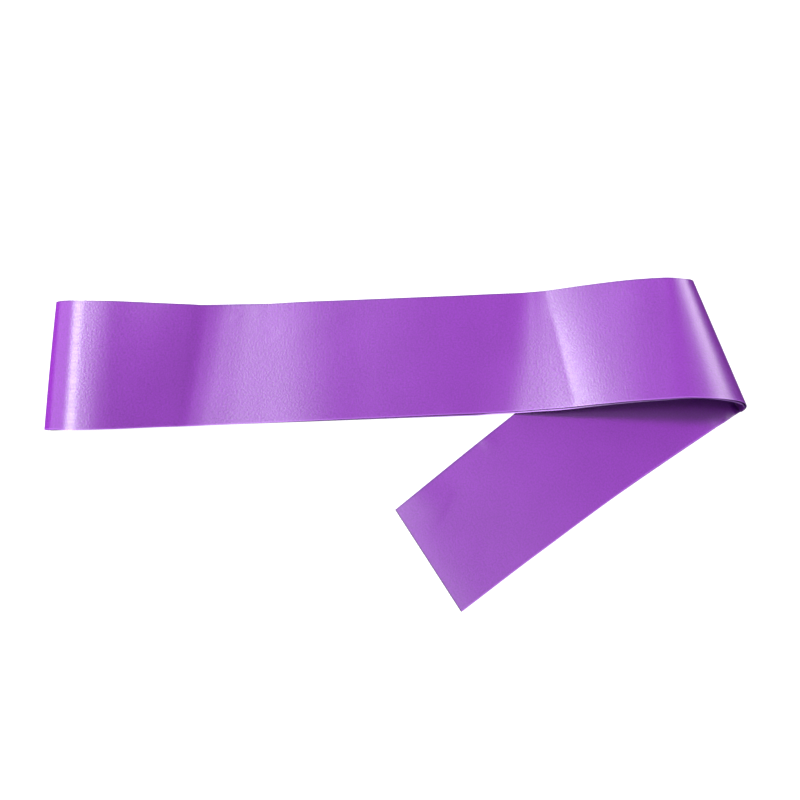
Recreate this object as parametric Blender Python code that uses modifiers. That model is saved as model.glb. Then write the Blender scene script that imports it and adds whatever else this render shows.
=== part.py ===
"""Satin sash: one length of wide ribbon, folded in half at the left and laid down with a loose
turn at the right, so that its two ends lie together as a flat tail under the doubled band.

The ribbon is ruled from its near edge to its far edge. Each row below is one ruling across it.
"""

import math
from collections import namedtuple

import bpy
import numpy as np

MM = 0.001

# Driving sizes, in millimetres.
WALL = 1.0
GAP = 0.3
LAYER = WALL + GAP
FLOOR_Z = 0.5 * WALL
BOX_CENTRE_X = 8.95
BOX_CENTRE_Y = 6.73

# How far a curve's handles reach, as a share of the way between two rulings.
ROUND_REACH = 0.55
RISE_REACH = 0.40
STEEP = 45.0

STEPS_ACROSS = 6

SATIN_COLOUR = (0.319, 0.084, 0.578, 1.0)
SATIN_ROUGHNESS = 0.38

Ruling = namedtuple(
    "Ruling",
    "near_x near_y near_z far_x far_y far_z near_heading far_heading near_pitch far_pitch crown steps",
)

# In millimetres and degrees. Headings are from +X, pitches above the floor, both in the direction
# of travel: from the left fold over the top to the right, round the right turn and down the tail.
# The crown is how far the middle stands above the line between the edges, and the steps are the
# faces from this ruling to the next.
LEFT_FLOOR = Ruling(-262.0, 16.9, FLOOR_Z, -253.0, 113.2, FLOOR_Z, 182, 182, 0, 0, 0, 4)
LEFT_NOSE = Ruling(-265.8, 16.5, 6.5, -261.4, 113.2, 10.5, 180, 180, 85, 88, 0.5, 6)
LEFT_BULGE = Ruling(-254.5, 15.8, 21.2, -252.5, 113.2, 20.7, 1, 1, 13, 12, 1.2, 3)
LEFT_CREST = Ruling(-244.2, 15.3, 22.6, -243.0, 113.2, 22.0, 1, 1, 0, 0, 1.5, 2)
LEFT_BROW = Ruling(-236.0, 15.4, 22.1, -235.0, 113.3, 21.6, 1.5, 1, -6.5, -5.5, 1.5, 3)
LEFT_SHOULDER = Ruling(-216.0, 16.3, 18.5, -211.0, 114.0, 18.1, 3, 1, -14, -11, 1.3, 4)
LEFT_SLOPE = Ruling(-175.0, 19.1, 7.1, -161.0, 114.6, 9.4, 3, 1.5, -15, -12, 0.3, 3)
LEFT_FOOT = Ruling(-161.5, 19.9, 3.7, -148.0, 114.8, 6.4, 3, 2, -7, -8, 0, 3)
LEFT_START = Ruling(-142.0, 21.0, 2.3, -130.0, 115.6, 4.8, 2.6, 2.4, -2.2, -2.2, 0, 2)
BAND_DIP = Ruling(-114.0, 22.3, 1.9, -112.0, 116.6, 4.5, 2.6, 2.8, 0.2, 0.3, 0, 2)
BAND_SWELL = Ruling(-66.0, 24.6, 2.8, -66.0, 119.5, 5.2, 2.6, 2.9, 0.5, 0.3, 0, 2)
BAND_MIDDLE = Ruling(-20.0, 26.8, 2.2, -20.0, 121.9, 5.4, 2.6, 2.9, 0, 1.3, 0, 2)
BAND_LIFT = Ruling(40.0, 29.6, 2.4, 36.0, 124.8, 6.4, 2.6, 3.0, 0.3, 0.4, 0, 3)
OVER_TAIL = Ruling(78.0, 31.3, 3.3, 82.0, 127.5, 6.6, 3.4, 3.2, 4.6, 0.3, 0, 4)
CREASE_FOOT = Ruling(104.0, 33.1, 7.5, 110.0, 129.1, 8.1, 4.0, 3.6, 12.8, 10, 0, 3)
CREASE = Ruling(138.1, 35.0, 16.4, 122.3, 129.8, 10.8, 5.0, 4.6, 16, 14, 0, 0)
RIGHT_START = CREASE._replace(near_pitch=18, far_pitch=16.5, steps=5)
RIGHT_RISE = Ruling(174.0, 38.1, 27.4, 160.6, 133.2, 21.4, 4.0, 4.6, 15.2, 14.3, 0, 4)
RIGHT_SHOULDER = Ruling(206.0, 40.2, 34.9, 202.0, 135.2, 31.4, 3, 1, 12.2, 11.4, 0, 4)
RIGHT_CREST = Ruling(232.0, 40.9, 37.6, 219.0, 134.6, 33.4, -2, 0, 0, 0, 0, 10)
RIGHT_NOSE = Ruling(283.6, 35.7, 6.5, 239.6, 134.3, 14.0, -52, -67, -72, -74, 0, 6)
RIGHT_FLOOR = Ruling(280.6, 32.4, FLOOR_Z, 232.0, 123.0, FLOOR_Z, 212.5, 211.5, 0, 0, 0, 4)
TAIL_MIDDLE = Ruling(147.0, -53.2, FLOOR_Z, 90.5, 28.2, FLOOR_Z, 213.8, 217.5, 0, 0, 0, 3)
TAIL_END = Ruling(48.0, -122.4, FLOOR_Z, -2.3, -44.8, FLOOR_Z, 215.5, 218.5, 0, 0, 0, 0)

# The second layer leaves the left fold along the floor and lifts off it before the tail, and
# from OVER_TAIL on it follows the top one.
UNDER_START = LEFT_FLOOR._replace(near_heading=2, far_heading=2, steps=3)
UNDER_LIFT = Ruling(62.0, 29.0, FLOOR_Z, 52.0, 124.0, FLOOR_Z, 2.1, 2.3, 0, 0, 0, 5)

# How far the second layer shows past the near edge of the top one, by distance along X.
SLIDE_X = (60.0, 100.0, 159.0, 200.0, 230.0)
SLIDE = (0.0, 1.6, 3.2, 1.2, 0.0)


def direction(heading, pitch):
    """Unit vector for a heading and a pitch in degrees."""
    around = math.radians(heading)
    up = math.radians(pitch)
    return np.array(
        [math.cos(around) * math.cos(up), math.sin(around) * math.cos(up), math.sin(up)]
    )


def edge_of(ruling, side):
    """Point, travel direction and pitch of one edge of the ribbon at a ruling."""
    if side == "near":
        point = (ruling.near_x, ruling.near_y, ruling.near_z)
        heading = ruling.near_heading
        pitch = ruling.near_pitch
    else:
        point = (ruling.far_x, ruling.far_y, ruling.far_z)
        heading = ruling.far_heading
        pitch = ruling.far_pitch
    return np.array(point), direction(heading, pitch), pitch


def reach(way, tangent, pitch, other_pitch):
    """Length of a curve handle at a ruling."""
    if abs(pitch) > STEEP:
        return ROUND_REACH * abs(way[2]) / abs(tangent[2])
    share = ROUND_REACH if abs(other_pitch) > STEEP else RISE_REACH
    return share * math.hypot(way[0], way[1])


def curve_between(first, last, side):
    """Points of one edge between two rulings, without the last one."""
    start, start_tangent, start_pitch = edge_of(first, side)
    end, end_tangent, end_pitch = edge_of(last, side)
    way = end - start
    leave = start + start_tangent * reach(way, start_tangent, start_pitch, end_pitch)
    arrive = end - end_tangent * reach(way, end_tangent, end_pitch, start_pitch)
    t = np.arange(first.steps)[:, None] / first.steps
    u = 1.0 - t
    return u**3 * start + 3 * u * u * t * leave + 3 * u * t * t * arrive + t**3 * end


def edge_curve(rulings, side):
    """Points of one edge along all the rulings."""
    pieces = [curve_between(first, last, side) for first, last in zip(rulings, rulings[1:])]
    return np.concatenate([*pieces, edge_of(rulings[-1], side)[0][None]])


def ribbon(*rulings):
    """Grid of points of the ribbon's middle surface: along it, across it, xyz."""
    near = edge_curve(rulings, "near")[:, None]
    far = edge_curve(rulings, "far")[:, None]
    across = np.linspace(0.0, 1.0, STEPS_ACROSS + 1)[None, :, None]
    grid = near * (1.0 - across) + far * across
    stations = np.cumsum([0] + [row.steps for row in rulings[:-1]])
    crown = np.interp(np.arange(len(grid)), stations, [row.crown for row in rulings])
    grid[..., 2] += crown[:, None] * 4.0 * (across * (1.0 - across))[..., 0]
    return grid


def normals_of(grid):
    """Unit normals of a grid, on the outer side of the turns."""
    along = np.gradient(grid, axis=0)
    across = np.gradient(grid, axis=1)
    normal = np.cross(along, across)
    return normal / np.linalg.norm(normal, axis=2, keepdims=True)


def second_layer(grid):
    """The layer inside another: a wall and a gap further in, and slid towards its near edge."""
    inner = grid - normals_of(grid) * LAYER
    across = grid[:, :1] - grid[:, -1:]
    across /= np.linalg.norm(across, axis=2, keepdims=True)
    slide = np.interp(grid[:, :1, 0], SLIDE_X, SLIDE)[..., None]
    return inner + across * slide


def under_band():
    """The second layer from the left fold to the start of the inner turn."""
    above = second_layer(ribbon(OVER_TAIL, CREASE_FOOT, CREASE))
    near, far = above[0, 0], above[0, -1]
    arrival = OVER_TAIL._replace(
        near_x=near[0], near_y=near[1], near_z=near[2], far_x=far[0], far_y=far[1], far_z=far[2]
    )
    return np.concatenate([ribbon(UNDER_START, UNDER_LIFT, arrival)[:-1], above])


def stretches():
    """The ribbon's stretches by name, each a grid of its middle surface in millimetres."""
    left_turn = ribbon(
        LEFT_FLOOR,
        LEFT_NOSE,
        LEFT_BULGE,
        LEFT_CREST,
        LEFT_BROW,
        LEFT_SHOULDER,
        LEFT_SLOPE,
        LEFT_FOOT,
        LEFT_START,
    )
    top_stretch = ribbon(
        LEFT_START, BAND_DIP, BAND_SWELL, BAND_MIDDLE, BAND_LIFT, OVER_TAIL, CREASE_FOOT, CREASE
    )
    outer_turn = ribbon(
        RIGHT_START, RIGHT_RISE, RIGHT_SHOULDER, RIGHT_CREST, RIGHT_NOSE, RIGHT_FLOOR
    )
    lower_tail = ribbon(RIGHT_FLOOR, TAIL_MIDDLE, TAIL_END)
    return {
        "left_turn": left_turn,
        "top_stretch": top_stretch,
        "outer_turn": outer_turn,
        "lower_tail": lower_tail,
        "under_stretch": under_band(),
        "inner_turn": second_layer(outer_turn),
        "upper_tail": lower_tail + np.array([0.0, 0.0, LAYER]),
    }


def trimmed(grid):
    """The grid with half a gap taken off each end."""
    cut = grid.copy()
    for end, inner in ((0, 1), (-1, -2)):
        way = grid[inner] - grid[end]
        cut[end] += way / np.linalg.norm(way, axis=1, keepdims=True) * 0.5 * GAP
    return cut


def satin_material(name):
    material = bpy.data.materials.new(name)
    material.use_nodes = True
    shader = material.node_tree.nodes["Principled BSDF"]
    shader.inputs["Base Color"].default_value = SATIN_COLOUR
    shader.inputs["Roughness"].default_value = SATIN_ROUGHNESS
    shader.inputs["Metallic"].default_value = 0.0
    return material


def cloth(name, grid, collection):
    """A wall of cloth on both sides of a grid, as one solid."""
    rows, columns, _ = grid.shape
    points = trimmed(grid).reshape(-1, 3) - np.array([BOX_CENTRE_X, BOX_CENTRE_Y, 0.0])
    faces = [
        (
            row * columns + column,
            (row + 1) * columns + column,
            (row + 1) * columns + column + 1,
            row * columns + column + 1,
        )
        for row in range(rows - 1)
        for column in range(columns - 1)
    ]
    mesh = bpy.data.meshes.new(name)
    mesh.from_pydata((points * MM).tolist(), [], faces)
    mesh.shade_smooth()
    mesh.materials.append(satin_material(name))
    piece = bpy.data.objects.new(name, mesh)
    collection.objects.link(piece)
    wall = piece.modifiers.new("Wall", "SOLIDIFY")
    wall.thickness = WALL * MM
    wall.offset = 0.0
    wall.use_even_offset = True
    wall.use_quality_normals = True
    return piece


def clear_scene():
    for thing in list(bpy.data.objects):
        bpy.data.objects.remove(thing, do_unlink=True)


def main():
    clear_scene()
    sash = bpy.data.collections.new("satin sash")
    bpy.context.scene.collection.children.link(sash)
    for name, grid in stretches().items():
        cloth(name, grid, sash)


if __name__ == "__main__":
    main()
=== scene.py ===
import math
from collections import namedtuple

import bpy
import numpy as np
from bpy.props import FloatProperty, FloatVectorProperty, PointerProperty
from mathutils import Matrix, Vector


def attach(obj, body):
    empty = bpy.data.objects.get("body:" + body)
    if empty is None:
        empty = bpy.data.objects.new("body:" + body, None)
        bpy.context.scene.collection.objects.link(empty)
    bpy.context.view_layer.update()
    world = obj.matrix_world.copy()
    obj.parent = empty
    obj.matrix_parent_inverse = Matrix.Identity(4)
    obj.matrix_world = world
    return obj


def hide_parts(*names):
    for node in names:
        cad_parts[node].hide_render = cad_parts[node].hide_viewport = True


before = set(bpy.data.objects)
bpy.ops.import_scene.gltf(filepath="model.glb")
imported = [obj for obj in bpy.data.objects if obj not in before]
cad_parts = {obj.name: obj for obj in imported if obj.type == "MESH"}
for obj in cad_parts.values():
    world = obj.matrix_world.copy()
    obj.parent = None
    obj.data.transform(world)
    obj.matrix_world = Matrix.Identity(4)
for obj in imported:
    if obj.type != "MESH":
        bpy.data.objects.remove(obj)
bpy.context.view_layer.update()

bl_info = {
    "name": "Satin Sash",
    "version": (1, 0, 0),
    "blender": (4, 5, 0),
    "location": "3D View > Sidebar > Satin Sash",
    "description": "A wide satin ribbon sash, folded in half and laid down in a loose turn",
    "category": "Add Mesh",
}

MM = 0.001
CAD_STRETCHES = (
    "lower_tail",
    "outer_turn",
    "top_stretch",
    "left_turn",
    "under_stretch",
    "inner_turn",
    "upper_tail",
)

# The box's middle on the floor, in the tables' millimetres.
BOX_CENTRE = np.array([8.95, 6.73, 0.0])

# Levels of the layers' middle surfaces above the floor, in millimetres.
FLOOR_Z = 0.45
LAYER = 0.9

# Lengths of the edge curves' handles, as a share of the way to the next ruling: where the edge
# goes round a turn, steeper than the pitch in degrees, and elsewhere.
ROUND_REACH = 0.55
RISE_REACH = 0.40
STEEP = 45.0

# Faces across the ribbon.
ACROSS = 60

Ruling = namedtuple(
    "Ruling",
    "near_x near_y near_z far_x far_y far_z "
    "near_heading far_heading near_pitch far_pitch crown steps",
)

# One row for each ruling across the ribbon, in millimetres and degrees, in the direction of
# travel: from the left fold over the top to the right, round the right turn, down the tail.
# The crown is how far the middle stands above the line between the edges, and the steps are the
# faces from this ruling to the next.
LEFT_FLOOR = Ruling(-262.0, 16.9, FLOOR_Z, -253.0, 113.2, FLOOR_Z, 182, 182, 0, 0, 0, 10)
LEFT_NOSE = Ruling(-265.8, 16.5, 6.5, -261.4, 113.2, 10.5, 180, 180, 85, 88, 0.5, 18)
LEFT_BULGE = Ruling(-254.5, 15.8, 21.2, -252.5, 113.2, 20.7, 1, 1, 13, 12, 1.2, 10)
LEFT_CREST = Ruling(-244.2, 15.3, 22.6, -243.0, 113.2, 22.0, 1, 1, 0, 0, 1.5, 8)
LEFT_BROW = Ruling(-236.0, 15.4, 22.1, -235.0, 113.3, 21.6, 1.5, 1, -6.7, -5.8, 1.5, 12)
LEFT_SHOULDER = Ruling(-216.0, 16.3, 18.5, -211.0, 114.0, 18.1, 3, 1, -14, -11, 1.3, 20)
LEFT_SLOPE = Ruling(-175.0, 19.1, 7.1, -161.0, 114.6, 9.4, 3, 1.5, -15, -12, 0.3, 12)
LEFT_FOOT = Ruling(-161.5, 19.9, 3.7, -148.0, 114.8, 6.4, 3, 2, -7, -8, 0, 12)
LEFT_START = Ruling(-142.0, 21.0, 2.3, -130.0, 115.6, 4.8, 2.6, 2.4, -2.2, -2.2, 0, 12)
BAND_DIP = Ruling(-114.0, 22.3, 1.9, -112.0, 116.6, 4.5, 2.6, 2.8, 0.2, 0.3, 0, 16)
BAND_SWELL = Ruling(-66.0, 24.6, 2.8, -66.0, 119.5, 5.2, 2.6, 2.9, 0.5, 0.3, 0, 14)
BAND_MIDDLE = Ruling(-20.0, 26.8, 2.2, -20.0, 121.9, 5.4, 2.6, 2.9, 0, 1.3, 0, 18)
BAND_LIFT = Ruling(40.0, 29.6, 2.4, 36.0, 124.8, 6.4, 2.6, 3.0, 0.3, 0.4, 0, 16)
OVER_TAIL = Ruling(78.0, 31.3, 3.3, 82.0, 127.5, 6.6, 3.4, 3.2, 4.6, 0.3, 0, 12)
CREASE_FOOT = Ruling(104.0, 32.7, 7.5, 107.0, 128.9, 7.6, 4.0, 3.6, 12.8, 10, 0, 20)
CREASE = Ruling(138.1, 34.8, 16.4, 119.2, 129.6, 10.0, 5.0, 4.6, 16, 14, 0, 0)
RIGHT_START = CREASE._replace(near_pitch=18.8, far_pitch=16.4, steps=22)
RIGHT_RISE = Ruling(174.0, 37.5, 27.4, 160.6, 133.2, 21.4, 4.0, 4.6, 15.2, 14.3, 0, 16)
RIGHT_SHOULDER = Ruling(206.0, 39.1, 34.9, 202.0, 135.2, 31.4, 3, 1, 12.2, 11.4, 0, 14)
RIGHT_CREST = Ruling(232.0, 39.6, 37.6, 218.0, 134.9, 33.2, -2, -2, 0, -7, 0, 36)
RIGHT_NOSE = Ruling(281.9, 33.8, 6.5, 239.6, 134.3, 14.0, -52, -67, -72, -74, 0, 14)
RIGHT_FLOOR = Ruling(280.5, 32.6, FLOOR_Z, 232.0, 123.0, FLOOR_Z, 212.5, 211.5, 0, 0, 0, 30)
TAIL_MIDDLE = Ruling(147.0, -53.2, FLOOR_Z, 90.5, 28.2, FLOOR_Z, 213.8, 217.5, 0, 0, 0, 24)
TAIL_END = Ruling(48.0, -122.4, FLOOR_Z, -2.3, -44.8, FLOOR_Z, 215.5, 218.5, 0, 0, 0, 0)

# The second layer leaves the left fold along the floor and lifts off it before the tail.
UNDER_START = LEFT_FLOOR._replace(near_heading=2, far_heading=2, steps=24)
UNDER_LIFT = Ruling(62.0, 29.0, FLOOR_Z, 52.0, 124.0, FLOOR_Z, 2.1, 2.3, 0, 0, 0, 10)

Slip = namedtuple("Slip", "travel slide sag")

# How far the second layer slides towards the near edge, and sags away from the top one there, by
# distance travelled along that edge from where it meets the tail.
SLIPS = (
    Slip(0.0, 1.3, 0.0),
    Slip(31.0, 1.4, 0.5),
    Slip(50.0, 1.5, 0.7),
    Slip(70.0, 1.2, 1.6),
    Slip(95.0, 0.9, 2.4),
    Slip(131.0, 0.6, 2.4),
    Slip(160.0, 0.2, 1.6),
    Slip(195.0, 0.8, 1.4),
    Slip(222.0, 0.4, 0.5),
    Slip(245.0, -0.5, 0.0),
    Slip(330.0, -0.6, 0.0),
    Slip(420.0, 0.6, 0.0),
    Slip(506.0, 0.3, 0.0),
)

Crease = namedtuple("Crease", "along across to_along to_across height half_width sharp")

# One row for each crease, as a straight stretch on the strip. Along is the distance in millimetres
# from the left fold: over the top to the lower cut end, or with a minus through the second layer
# to the upper cut end. Across is the distance from the near edge. The height is towards the face
# side, so that a trough has a minus, and a sharp one is pressed to a line, as from packing. The
# top's last is the raised lip at the left fold's near corner. The tail's highest are the swelling
# below the right turn's nose and the lift of the cut end.
TOP_CREASES = (
    Crease(415.7, 76.0, 416.9, 4.0, -0.23, 7.0, True),
    Crease(61.0, 97.0, 70.5, -4.0, 0.09, 7.0, True),
    Crease(196.0, 64.0, 270.0, 98.0, 0.07, 6.0, True),
    Crease(122.0, 79.5, 158.0, 79.0, 0.05, 1.6, False),
    Crease(150.0, 82.0, 160.0, 87.0, 0.06, 1.8, False),
    Crease(171.0, 86.0, 180.0, 91.0, 0.06, 1.8, False),
    Crease(180.0, 74.0, 190.0, 70.0, -0.06, 2.0, False),
    Crease(189.0, 66.0, 197.0, 71.0, 0.05, 1.8, False),
    Crease(296.0, 40.0, 318.0, 46.0, 0.04, 2.4, False),
    Crease(352.0, 71.0, 366.0, 62.0, -0.05, 3.0, False),
    Crease(470.0, 88.0, 494.0, 70.0, 0.05, 3.5, False),
    Crease(500.0, 30.0, 521.0, 22.0, -0.05, 3.5, False),
    Crease(32.0, 72.0, 47.0, 60.0, 0.04, 3.0, False),
    Crease(5.5, -20.0, 5.5, 26.0, 2.2, 1.4, False),
)
TAIL_CREASES = (
    Crease(-737.5, 99.0, -734.5, 84.0, 0.75, 2.2, False),
    Crease(-729.5, 98.0, -727.0, 89.0, 0.35, 2.2, False),
    Crease(-733.0, 86.0, -724.0, 74.0, 0.10, 2.4, False),
    Crease(-753.0, 85.0, -746.0, 77.0, -0.10, 1.8, False),
    Crease(-746.0, 77.0, -735.0, 74.0, -0.10, 1.8, False),
    Crease(-740.0, 73.0, -734.0, 67.0, 0.10, 1.8, False),
    Crease(-565.0, -14.0, -562.0, 8.0, 3.0, 8.5, False),
    Crease(-812.0, 104.0, -796.0, 70.0, 0.45, 14.0, False),
    Crease(-831.0, -45.0, -831.0, 140.0, 1.5, 40.0, False),
    Crease(-690.0, 40.0, -664.0, 52.0, 0.06, 5.0, False),
    Crease(-801.0, 22.0, -778.0, 31.0, -0.06, 5.0, False),
)
HIDDEN_CREASES = (
    Crease(-88.0, 14.0, -95.0, 70.0, 0.12, 5.0, True),
    Crease(-146.0, 30.0, -171.0, 58.0, 0.14, 5.0, False),
    Crease(-214.0, 78.0, -262.0, 60.0, 0.12, 4.0, False),
    Crease(-305.0, 10.0, -322.0, 49.0, 0.10, 4.5, False),
    Crease(590.0, 20.0, 622.0, 44.0, -0.12, 5.0, False),
    Crease(665.0, 84.0, 690.0, 52.0, -0.10, 4.0, False),
    Crease(742.0, 12.0, 757.0, 60.0, -0.12, 5.5, True),
    Crease(806.0, 38.0, 832.0, 66.0, -0.10, 4.0, False),
)

# The strip's flat cut in metres, as a UV map: across the ribbon, then along it.
CUT_MAP = "cut"

# Sizes of the cloth's patterns in millimetres, across the ribbon and along it. The bundles of warp
# floats stand for filaments that are ten times finer and wouldn't show, and the glitter of the
# floats' ends is also drawn as coarse as it needs to show. The dye changes slowly from place to
# place.
FLOAT_BUNDLE = (1.11, 8.33)
GLITTER = (1.39, 1.515)
DYE_PATCH = 38.5

Line = namedtuple("Line", "fades full")

# The lines along the edges, painted highlight along the near one and painted shade along the far,
# and along the cut ends: how far in from the edge, in millimetres, each fades out and is full.
EDGE_HIGHLIGHT_AND_SHADE = Line(1.2, 0.6)
SEAL = Line(1.0, 0.4)

# Where most of a noise pattern's values lie.
NOISE_RANGE = {"From Min": 0.3, "From Max": 0.7}

# Places of a Mix node's two colours among its inputs, and of the mixed one among its outputs.
MIX_A = 6
MIX_B = 7
MIX_RESULT = 2

# The floor's length and width in metres, and the strength of the light from all sides.
FLOOR_SIZE = 6.0
ROOM_LIGHT = 0.006

# The camera's lens in millimetres, its place in metres and its direction in degrees: up from the
# floor, and round from the band's near side.
CAMERA_LENS = 31.68
CAMERA_AT = (-0.04595, -0.03273, 0.554)
CAMERA_ELEVATION = 82.0
CAMERA_AZIMUTH = -30.0

Lamp = namedtuple("Lamp", "name tilt_x tilt_y distance size power colour on_dye on_sheen")

# One row for each soft box. The tilts are its direction in degrees from straight up, towards the
# right turn and towards the band's far edge. The distance and size are in metres and the power is
# in watts. Some light only the dye's own colour, and one only the sheen.
LAMPS = (
    Lamp("window", -45.0, 25.8, 2.8, (0.5, 0.5), 133.0, "#ffffff", True, False),
    Lamp("fill", 10.0, 4.0, 1.4, (1.2, 1.2), 7.4, "#ffffff", True, False),
    Lamp("key", -22.0, 10.0, 4.0, (0.5, 0.5), 121.0, "#f6fffa", False, True),
    Lamp("key spill", -22.0, 6.0, 4.0, (0.5, 0.8), 32.0, "#ffffff", True, False),
    Lamp("left", -62.0, 15.0, 1.4, (1.1, 0.8), 3.4, "#ffffff", True, True),
    Lamp("right", 65.0, 50.0, 1.4, (0.5, 0.5), 4.8, "#ffffff", True, True),
    Lamp("right wash", 58.0, 40.0, 1.4, (1.1, 0.8), 4.2, "#ffffff", True, True),
    Lamp("ceiling", 26.0, 36.0, 1.4, (0.45, 0.8), 0.17, "#ffffff", True, True),
)


def direction(heading, pitch):
    """Unit vector for a heading and a pitch in degrees."""
    around = math.radians(heading)
    up = math.radians(pitch)
    return np.array(
        [math.cos(around) * math.cos(up), math.sin(around) * math.cos(up), math.sin(up)]
    )


def edge_of(ruling, side):
    """Point, travel direction and pitch of one edge of the ribbon at a ruling."""
    if side == "near":
        point = (ruling.near_x, ruling.near_y, ruling.near_z)
        heading, pitch = ruling.near_heading, ruling.near_pitch
    else:
        point = (ruling.far_x, ruling.far_y, ruling.far_z)
        heading, pitch = ruling.far_heading, ruling.far_pitch
    return np.array(point), direction(heading, pitch), pitch


def reach(way, tangent, pitch, other_pitch):
    """Length of a curve handle at a ruling."""
    if abs(pitch) > STEEP:
        return ROUND_REACH * abs(way[2]) / abs(tangent[2])
    share = ROUND_REACH if abs(other_pitch) > STEEP else RISE_REACH
    return share * math.hypot(way[0], way[1])


def curve_between(first, last, side):
    """Points of one edge between two rulings, without the last one."""
    start, start_tangent, start_pitch = edge_of(first, side)
    end, end_tangent, end_pitch = edge_of(last, side)
    way = end - start
    leave = start + start_tangent * reach(way, start_tangent, start_pitch, end_pitch)
    arrive = end - end_tangent * reach(way, end_tangent, end_pitch, start_pitch)
    t = np.arange(first.steps)[:, None] / first.steps
    u = 1.0 - t
    return u**3 * start + 3 * u * u * t * leave + 3 * u * t * t * arrive + t**3 * end


def edge_curve(rulings, side):
    """Points of one edge along all the rulings."""
    pieces = [curve_between(first, last, side) for first, last in zip(rulings, rulings[1:])]
    return np.concatenate([*pieces, edge_of(rulings[-1], side)[0][None]])


def ribbon(*rulings):
    """Grid of points of the ribbon's middle surface: along it, across it, xyz."""
    near = edge_curve(rulings, "near")[:, None]
    far = edge_curve(rulings, "far")[:, None]
    across = np.linspace(0.0, 1.0, ACROSS + 1)[None, :, None]
    grid = near * (1.0 - across) + far * across
    stations = np.cumsum([0] + [row.steps for row in rulings[:-1]])
    crown = np.interp(np.arange(len(grid)), stations, [row.crown for row in rulings])
    grid[..., 2] += crown[:, None] * 4.0 * (across * (1.0 - across))[..., 0]
    return grid


def normals_of(grid):
    """Unit normals of a grid, on the outer side of the turns."""
    along = np.gradient(grid, axis=0)
    across = np.gradient(grid, axis=1)
    normal = np.cross(along, across)
    return normal / np.linalg.norm(normal, axis=2, keepdims=True)


def second_layer(grid):
    """The layer inside another, slid towards its near edge."""
    across = grid[:, :1] - grid[:, -1:]
    across /= np.linalg.norm(across, axis=2, keepdims=True)
    steps = np.linalg.norm(np.diff(grid[:, 0], axis=0), axis=1)
    travel = np.concatenate([[0.0], np.cumsum(steps)])
    slips = np.array(SLIPS)
    slide = np.interp(travel, slips[:, 0], slips[:, 1])[:, None, None]
    sag = np.interp(travel, slips[:, 0], slips[:, 2])[:, None, None]
    far_share = np.linspace(0.0, 1.0, grid.shape[1])[None, :, None]
    gap = LAYER + sag * (1.0 - far_share) ** 3
    return grid - normals_of(grid) * gap + across * slide


def right_side():
    """From the band over the tail, round the right turn and down to the cut end."""
    foot = ribbon(OVER_TAIL, CREASE_FOOT, CREASE)
    turn = ribbon(
        RIGHT_START, RIGHT_RISE, RIGHT_SHOULDER, RIGHT_CREST, RIGHT_NOSE, RIGHT_FLOOR,
        TAIL_MIDDLE, TAIL_END,
    )
    return np.concatenate([foot[:-1], turn])


def top_layer():
    """From the left fold's floor line over the top and round the right turn to the lower cut end."""
    band = ribbon(
        LEFT_FLOOR, LEFT_NOSE, LEFT_BULGE, LEFT_CREST, LEFT_BROW, LEFT_SHOULDER, LEFT_SLOPE,
        LEFT_FOOT, LEFT_START, BAND_DIP, BAND_SWELL, BAND_MIDDLE, BAND_LIFT, OVER_TAIL,
    )
    return np.concatenate([band[:-1], right_side()])


def under_layer():
    """The second layer, from the left fold's floor line to the upper cut end."""
    inner = second_layer(right_side())
    near, far = inner[0, 0], inner[0, -1]
    arrival = OVER_TAIL._replace(
        near_x=near[0], near_y=near[1], near_z=near[2], far_x=far[0], far_y=far[1], far_z=far[2]
    )
    return np.concatenate([ribbon(UNDER_START, UNDER_LIFT, arrival)[:-1], inner])


def whole_ribbon():
    """The whole strip in one grid, from the upper cut end to the lower one."""
    return np.concatenate([under_layer()[:0:-1], top_layer()])


def strip_places(grid, width):
    """Distances of a grid's points along its middle and from its near edge."""
    steps = np.linalg.norm(np.diff(grid[:, grid.shape[1] // 2], axis=0), axis=1)
    along = np.concatenate([[0.0], np.cumsum(steps)])
    across = np.linspace(0.0, width, grid.shape[1])
    return np.broadcast_arrays(along[:, None], across[None, :])


def creased(grid, width, creases):
    """The grid with its creases raised towards the face side."""
    along, across = strip_places(grid, width)
    along = along - along[len(under_layer()) - 1, 0]
    height = np.zeros(along.shape)
    for crease in creases:
        length = math.hypot(crease.to_along - crease.along, crease.to_across - crease.across)
        way_along = (crease.to_along - crease.along) / length
        way_across = (crease.to_across - crease.across) / length
        from_along, from_across = along - crease.along, across - crease.across
        share = np.clip((from_along * way_along + from_across * way_across) / length, 0.0, 1.0)
        fade = np.sqrt(4.0 * share * (1.0 - share))
        off = np.abs(from_along * way_across - from_across * way_along) / crease.half_width
        height += crease.height * fade * np.exp(-off if crease.sharp else -(off**2))
    raised = grid + normals_of(grid) * height[..., None]
    raised[..., 2] = np.maximum(raised[..., 2], FLOOR_Z)
    return raised


def srgb(code):
    """Linear red, green and blue of a hex colour."""
    channels = [int(code[i : i + 2], 16) / 255.0 for i in (1, 3, 5)]
    return tuple(c / 12.92 if c <= 0.04045 else ((c + 0.055) / 1.055) ** 2.4 for c in channels)


def scales(*sizes):
    """Scales along the three axes for a pattern of these sizes in millimetres."""
    return (*[1.0 / (size * MM) for size in sizes], 1.0)


def node(tree, kind, settings=None, inputs=None):
    """Adds a shader node, sets its properties, and sets or links its inputs."""
    made = tree.nodes.new(kind)
    for name, value in (settings or {}).items():
        setattr(made, name, value)
    for name, value in (inputs or {}).items():
        if isinstance(value, bpy.types.NodeSocket):
            tree.links.new(value, made.inputs[name])
        else:
            made.inputs[name].default_value = value
    return made


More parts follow.
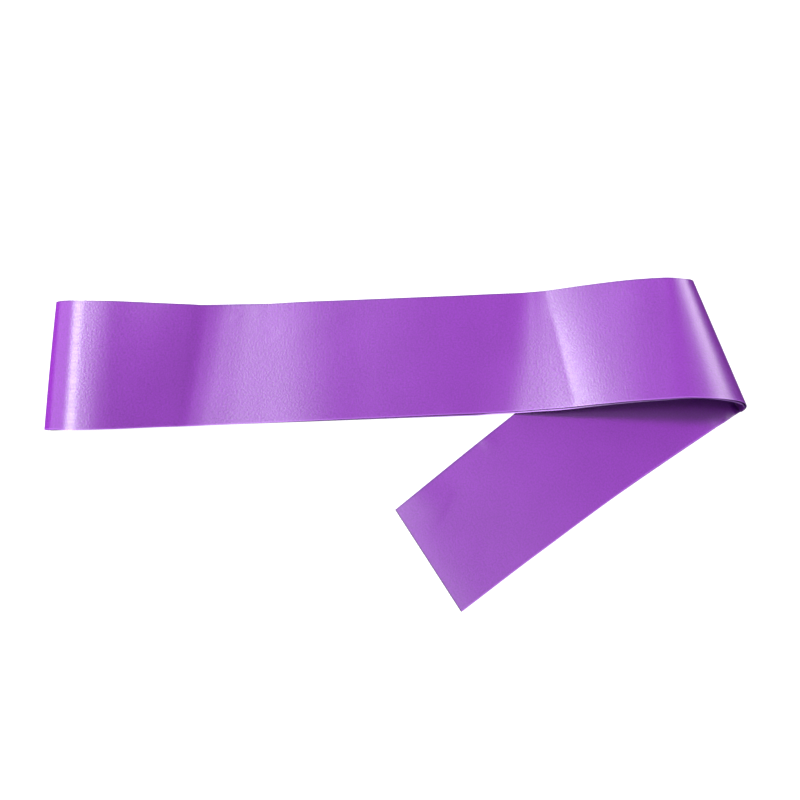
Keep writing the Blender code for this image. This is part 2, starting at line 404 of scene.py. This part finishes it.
def cloth_material(name, colour, near_highlight_colour, roughness, width, length):
    """Woven polyester satin: long warp floats along the ribbon spread light across its width."""
    material = bpy.data.materials.new(name)
    material.use_nodes = True
    tree = material.node_tree
    tree.nodes.clear()
    uv = node(tree, "ShaderNodeUVMap", {"uv_map": CUT_MAP})
    stretch = node(
        tree,
        "ShaderNodeMapping",
        inputs={"Vector": uv.outputs["UV"], "Scale": scales(*FLOAT_BUNDLE)},
    )
    floats = node(
        tree,
        "ShaderNodeTexNoise",
        inputs={"Vector": stretch.outputs["Vector"], "Scale": 1.0, "Detail": 3.0},
    )
    grain_at = node(
        tree,
        "ShaderNodeMapping",
        inputs={"Vector": uv.outputs["UV"], "Scale": scales(*GLITTER)},
    )
    grain = node(
        tree,
        "ShaderNodeTexNoise",
        inputs={"Vector": grain_at.outputs["Vector"], "Scale": 1.0, "Detail": 2.0},
    )
    dye = node(
        tree,
        "ShaderNodeTexNoise",
        inputs={"Vector": uv.outputs["UV"], "Scale": 1.0 / (DYE_PATCH * MM), "Detail": 2.0},
    )
    mottle = node(
        tree,
        "ShaderNodeMapRange",
        inputs={**NOISE_RANGE, "Value": dye.outputs["Fac"], "To Min": 0.96, "To Max": 1.04},
    )
    speck = node(
        tree,
        "ShaderNodeMapRange",
        inputs={**NOISE_RANGE, "Value": grain.outputs["Fac"], "To Min": 0.81, "To Max": 1.19},
    )
    tone = node(
        tree,
        "ShaderNodeMath",
        {"operation": "MULTIPLY"},
        {0: mottle.outputs["Result"], 1: speck.outputs["Result"]},
    )
    tinted = node(
        tree,
        "ShaderNodeMix",
        {"data_type": "RGBA", "blend_type": "MULTIPLY"},
        {0: 1.0, MIX_A: (*colour, 1.0), MIX_B: tone.outputs["Value"]},
    )
    # Along the selvedges: a painted highlight along the near edge and painted shade along the far.
    place = node(tree, "ShaderNodeSeparateXYZ", inputs={"Vector": uv.outputs["UV"]})
    # Painted highlight: a pale line within a millimetre of the near edge, where that edge catches
    # the light.
    near_highlight_mask = node(
        tree,
        "ShaderNodeMapRange",
        inputs={
            "Value": place.outputs["X"],
            "From Min": EDGE_HIGHLIGHT_AND_SHADE.fades * MM,
            "From Max": EDGE_HIGHLIGHT_AND_SHADE.full * MM,
        },
    )
    with_near_highlight = node(
        tree,
        "ShaderNodeMix",
        {"data_type": "RGBA"},
        {
            0: near_highlight_mask.outputs["Result"],
            MIX_A: tinted.outputs[MIX_RESULT],
            MIX_B: (*srgb(near_highlight_colour), 1.0),
        },
    )
    # Painted shade: a darker line along the far edge, where shadow lies under it.
    far_shade_mask = node(
        tree,
        "ShaderNodeMapRange",
        inputs={
            "Value": place.outputs["X"],
            "From Min": width - EDGE_HIGHLIGHT_AND_SHADE.fades * MM,
            "From Max": width - EDGE_HIGHLIGHT_AND_SHADE.full * MM,
        },
    )
    with_far_shade = node(
        tree,
        "ShaderNodeMix",
        {"data_type": "RGBA"},
        {
            0: far_shade_mask.outputs["Result"],
            MIX_A: with_near_highlight.outputs[MIX_RESULT],
            MIX_B: (*srgb("#681a8c"), 1.0),
        },
    )
    # The heat-sealed cut ends: a dark line where the filaments have melted.
    from_half = node(
        tree,
        "ShaderNodeMath",
        {"operation": "SUBTRACT"},
        {0: place.outputs["Y"], 1: length / 2.0},
    )
    off_half = node(
        tree, "ShaderNodeMath", {"operation": "ABSOLUTE"}, {0: from_half.outputs["Value"]}
    )
    seal = node(
        tree,
        "ShaderNodeMapRange",
        inputs={
            "Value": off_half.outputs["Value"],
            "From Min": length / 2.0 - SEAL.fades * MM,
            "From Max": length / 2.0 - SEAL.full * MM,
        },
    )
    sealed = node(
        tree,
        "ShaderNodeMix",
        {"data_type": "RGBA"},
        {
            0: seal.outputs["Result"],
            MIX_A: with_far_shade.outputs[MIX_RESULT],
            MIX_B: (*srgb("#4a0468"), 1.0),
        },
    )
    rough = node(
        tree,
        "ShaderNodeMapRange",
        inputs={
            **NOISE_RANGE,
            "Value": floats.outputs["Fac"],
            "To Min": roughness - 0.03,
            "To Max": roughness + 0.03,
        },
    )
    relief = node(
        tree,
        "ShaderNodeMath",
        {"operation": "MULTIPLY_ADD"},
        {0: floats.outputs["Fac"], 1: 0.25, 2: grain.outputs["Fac"]},
    )
    bump = node(
        tree,
        "ShaderNodeBump",
        inputs={"Height": relief.outputs["Value"], "Strength": 0.45, "Distance": 0.2 * MM},
    )
    tangent = node(tree, "ShaderNodeTangent", {"direction_type": "UV_MAP", "uv_map": CUT_MAP})
    # Polyester's own index is about 1.6. The filaments lie flat side by side and mirror more than
    # one smooth face of it would, so the index is raised until the sheen is as strong as it is.
    shader = node(
        tree,
        "ShaderNodeBsdfPrincipled",
        inputs={
            "Base Color": sealed.outputs[MIX_RESULT],
            "Metallic": 0.0,
            "IOR": 2.6,
            "Specular IOR Level": 0.5,
            "Roughness": rough.outputs["Result"],
            "Anisotropic": 0.85,
            "Tangent": tangent.outputs["Tangent"],
            "Normal": bump.outputs["Normal"],
        },
    )
    node(tree, "ShaderNodeOutputMaterial", inputs={"Surface": shader.outputs["BSDF"]})
    return material


def board_material():
    """Matt white board: no gloss, and lit from below as on a light table, so it has no shadows."""
    material = bpy.data.materials.new("matt white board")
    material.use_nodes = True
    shader = material.node_tree.nodes["Principled BSDF"]
    shader.inputs["Base Color"].default_value = (*srgb("#808080"), 1.0)
    shader.inputs["Roughness"].default_value = 0.9
    shader.inputs["Emission Color"].default_value = (*srgb("#ffffff"), 1.0)
    shader.inputs["Emission Strength"].default_value = 1.0
    return material


def strip_mesh(grid, width):
    """Mesh of the strip's grid in metres, with its flat cut as the UV map, and the cut's length."""
    rows, columns, _ = grid.shape
    index = np.arange(rows * columns).reshape(rows, columns)
    corners = (index[:-1, :-1], index[1:, :-1], index[1:, 1:], index[:-1, 1:])
    faces = np.stack(corners, axis=-1).reshape(-1, 4)
    mesh = bpy.data.meshes.new("sash")
    mesh.from_pydata(grid.reshape(-1, 3).tolist(), [], faces.tolist())
    along, across = strip_places(grid, width)
    cut = np.stack([across, along], axis=-1).reshape(-1, 2)
    layer = mesh.uv_layers.new(name=CUT_MAP)
    points = np.zeros(len(mesh.loops), np.int32)
    mesh.loops.foreach_get("vertex_index", points)
    layer.data.foreach_set("uv", cut[points].astype(np.float32).ravel())
    mesh.shade_smooth()
    return mesh, float(along.max())


def sharpen_rim(mesh):
    """Marks a sheet's outer edges sharp, so that its cut edge doesn't shade into its faces."""
    uses = np.zeros(len(mesh.edges), np.int32)
    edges = np.zeros(len(mesh.loops), np.int32)
    mesh.loops.foreach_get("edge_index", edges)
    np.add.at(uses, edges, 1)
    sharp = mesh.attributes.new("sharp_edge", "BOOLEAN", "EDGE")
    sharp.data.foreach_set("value", uses == 1)


class SashSettings(bpy.types.PropertyGroup):
    """The sash's sizes and colours"""

    width: FloatProperty(
        name="Width", description="Cut width of the ribbon", default=0.095, unit="LENGTH"
    )
    length: FloatProperty(
        name="Length", description="Cut length of the strip", default=1.69, unit="LENGTH"
    )
    thickness: FloatProperty(
        name="Cloth thickness", description="Thickness of the satin", default=0.0004, unit="LENGTH"
    )
    face_colour: FloatVectorProperty(
        name="Face side",
        description="Colour of the dye on the glossy side",
        default=srgb("#78209c"),
        subtype="COLOR",
        min=0.0,
        max=1.0,
    )
    back_colour: FloatVectorProperty(
        name="Back side",
        description="Colour of the dye on the duller side",
        default=srgb("#6a0a8c"),
        subtype="COLOR",
        min=0.0,
        max=1.0,
    )


class MESH_OT_satin_sash(bpy.types.Operator):
    """Builds the sash as one thin strip of satin"""

    bl_idname = "mesh.satin_sash"
    bl_label = "Satin sash"

    def execute(self, context):
        settings = context.scene.satin_sash
        creases = (*TOP_CREASES, *TAIL_CREASES, *HIDDEN_CREASES)
        grid = (creased(whole_ribbon(), settings.width / MM, creases) - BOX_CENTRE) * MM
        mesh, length = strip_mesh(grid, settings.width)
        sharpen_rim(mesh)
        # The face side shows its floats and is glossy. The back shows the weft and is duller.
        # Each row's third entry is the colour of the painted highlight along that side's near edge.
        for side, colour, near_highlight_colour, roughness in (
            ("face", settings.face_colour, "#9044b8", 0.5),
            ("back", settings.back_colour, "#b478dc", 0.7),
        ):
            name = "polyester satin, " + side + " side"
            satin = cloth_material(
                name, colour, near_highlight_colour, roughness, settings.width, length
            )
            mesh.materials.append(satin)
        sash = bpy.data.objects.new("sash", mesh)
        context.scene.collection.objects.link(sash)
        wall = sash.modifiers.new("Cloth", "SOLIDIFY")
        wall.thickness = settings.thickness
        wall.offset = 0.0
        wall.use_even_offset = True
        wall.material_offset = 1
        wall.material_offset_rim = 0
        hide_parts(*CAD_STRETCHES)
        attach(sash, "root")
        return {"FINISHED"}


def add_floor():
    """The board that the sash lies on."""
    bpy.ops.mesh.primitive_plane_add(size=FLOOR_SIZE, location=(0.0, 0.0, 0.0))
    floor = bpy.context.object
    floor.name = "floor"
    floor.data.materials.append(board_material())
    floor.visible_glossy = False


def add_lamp(row):
    """A soft box that faces the sash."""
    light = bpy.data.lights.new(row.name, "AREA")
    light.shape = "RECTANGLE"
    light.size, light.size_y = row.size
    light.energy = row.power
    light.color = srgb(row.colour)
    lamp = bpy.data.objects.new(row.name, light)
    lean_x = math.tan(math.radians(row.tilt_x))
    lean_y = math.tan(math.radians(row.tilt_y))
    way = Vector((lean_x, lean_y, 1.0)).normalized()
    lamp.location = way * row.distance
    lamp.rotation_euler = way.to_track_quat("Z", "Y").to_euler()
    lamp.visible_diffuse = row.on_dye
    lamp.visible_glossy = row.on_sheen
    bpy.context.scene.collection.objects.link(lamp)


def add_room_light(scene):
    """The dim light that comes from all sides of the room."""
    world = bpy.data.worlds.new("studio")
    scene.world = world
    world.use_nodes = True
    background = world.node_tree.nodes["Background"]
    background.inputs["Color"].default_value = (*srgb("#ffffff"), 1.0)
    background.inputs["Strength"].default_value = ROOM_LIGHT


def add_camera(scene):
    """The camera, nearly straight above and rolled so that the band lies level."""
    data = bpy.data.cameras.new("camera")
    data.sensor_width = 36.0
    data.lens = CAMERA_LENS
    data.clip_start = 0.02
    data.clip_end = 20.0
    camera = bpy.data.objects.new("camera", data)
    scene.collection.objects.link(camera)
    elevation = math.radians(CAMERA_ELEVATION)
    azimuth = math.radians(CAMERA_AZIMUTH)
    back = Vector(
        (
            math.sin(azimuth) * math.cos(elevation),
            -math.cos(azimuth) * math.cos(elevation),
            math.sin(elevation),
        )
    )
    level = Vector((math.cos(azimuth), math.sin(azimuth), 0.0))
    upright = back.cross(level)
    roll = -azimuth
    right = level * math.cos(roll) + upright * math.sin(roll)
    up = upright * math.cos(roll) - level * math.sin(roll)
    turn = Matrix((right, up, back)).transposed().to_4x4()
    camera.matrix_world = Matrix.Translation(CAMERA_AT) @ turn
    scene.camera = camera


class SCENE_OT_sash_stage(bpy.types.Operator):
    """Adds the floor, the lights and the camera"""

    bl_idname = "scene.sash_stage"
    bl_label = "Floor, lights and camera"

    def execute(self, context):
        add_floor()
        for row in LAMPS:
            add_lamp(row)
        add_room_light(context.scene)
        context.scene.view_settings.view_transform = "Standard"
        add_camera(context.scene)
        return {"FINISHED"}


class VIEW3D_PT_satin_sash(bpy.types.Panel):
    """Lists the sash's sizes and colours, and what builds it"""

    bl_label = "Satin Sash"
    bl_idname = "VIEW3D_PT_satin_sash"
    bl_space_type = "VIEW_3D"
    bl_region_type = "UI"
    bl_category = "Satin Sash"

    def draw(self, context):
        layout = self.layout
        settings = context.scene.satin_sash
        for setting in ("width", "length", "thickness", "face_colour", "back_colour"):
            layout.prop(settings, setting)
        layout.operator("mesh.satin_sash")
        layout.operator("scene.sash_stage")


CLASSES = (SashSettings, MESH_OT_satin_sash, SCENE_OT_sash_stage, VIEW3D_PT_satin_sash)


def register():
    for one in CLASSES:
        bpy.utils.register_class(one)
    bpy.types.Scene.satin_sash = PointerProperty(type=SashSettings)


def unregister():
    del bpy.types.Scene.satin_sash
    for one in reversed(CLASSES):
        bpy.utils.unregister_class(one)


def main():
    """Builds the stage and the sash."""
    register()
    bpy.ops.scene.sash_stage()
    bpy.ops.mesh.satin_sash()


if __name__ == "__main__":
    main()
